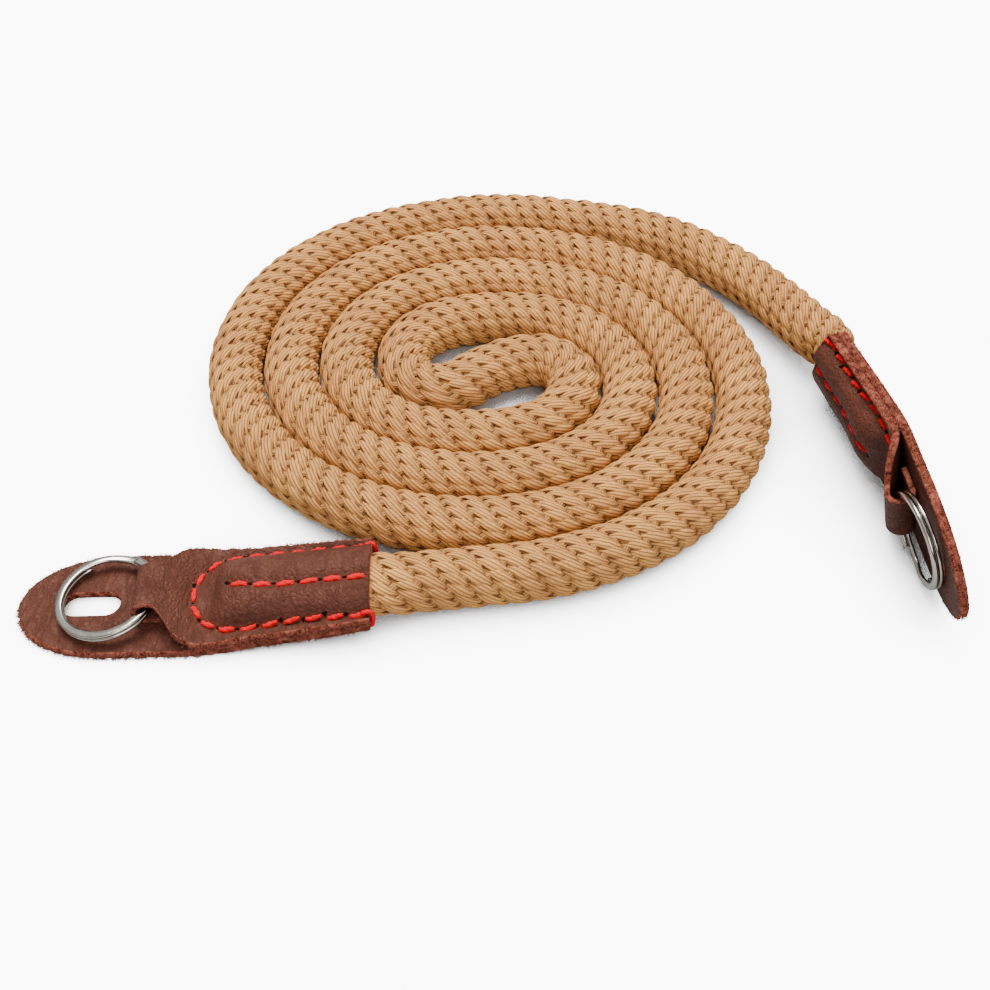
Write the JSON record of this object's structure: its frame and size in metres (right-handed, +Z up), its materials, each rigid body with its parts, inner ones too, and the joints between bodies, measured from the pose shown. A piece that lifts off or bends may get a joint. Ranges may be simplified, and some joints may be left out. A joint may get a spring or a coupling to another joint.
{
  "type": "camera strap",
  "caption": "Braided cotton rope camera strap lying in a flat coil, with stitched leather ends that hold split rings.",
  "frame": {"origin": "on the surface the strap lies on, under the middle of the box round the two leather ends with their rings", "axes": "+Z up, +X along the left leather end towards the rope, +Y away from the viewer"},
  "size_m": [0.1498, 0.1127, 0.0196],
  "materials": {
    "rope": "braided cotton yarn, matt with a soft lustre",
    "leather": "smooth brown leather with raw fibrous edges",
    "ring": "polished nickel plate",
    "thread": "twisted red thread"
  },
  "bodies": {
    "strap": {"rope": "rope", "left_rope_end": "rope", "right_rope_end": "rope", "left_front_leather": "leather", "left_back_leather": "leather", "right_front_leather": "leather", "right_back_leather": "leather"},
    "left_ring": {"left_split_ring": "ring"},
    "right_ring": {"right_split_ring": "ring"}
  },
  "joints": [
    {"name": "left_ring_swing", "type": "hinge", "parent": "strap", "child": "left_ring", "pos_m": [-0.05328, -0.01955, 0.00416], "axis": [-0.0297, 0.9996, 0], "range_deg": [0, 90]},
    {"name": "right_ring_swing", "type": "hinge", "parent": "strap", "child": "right_ring", "pos_m": [0.06783, -0.006, 0.00905], "axis": [0.259, 0.0054, -0.9659], "range_deg": [0, 90]}
  ]
}
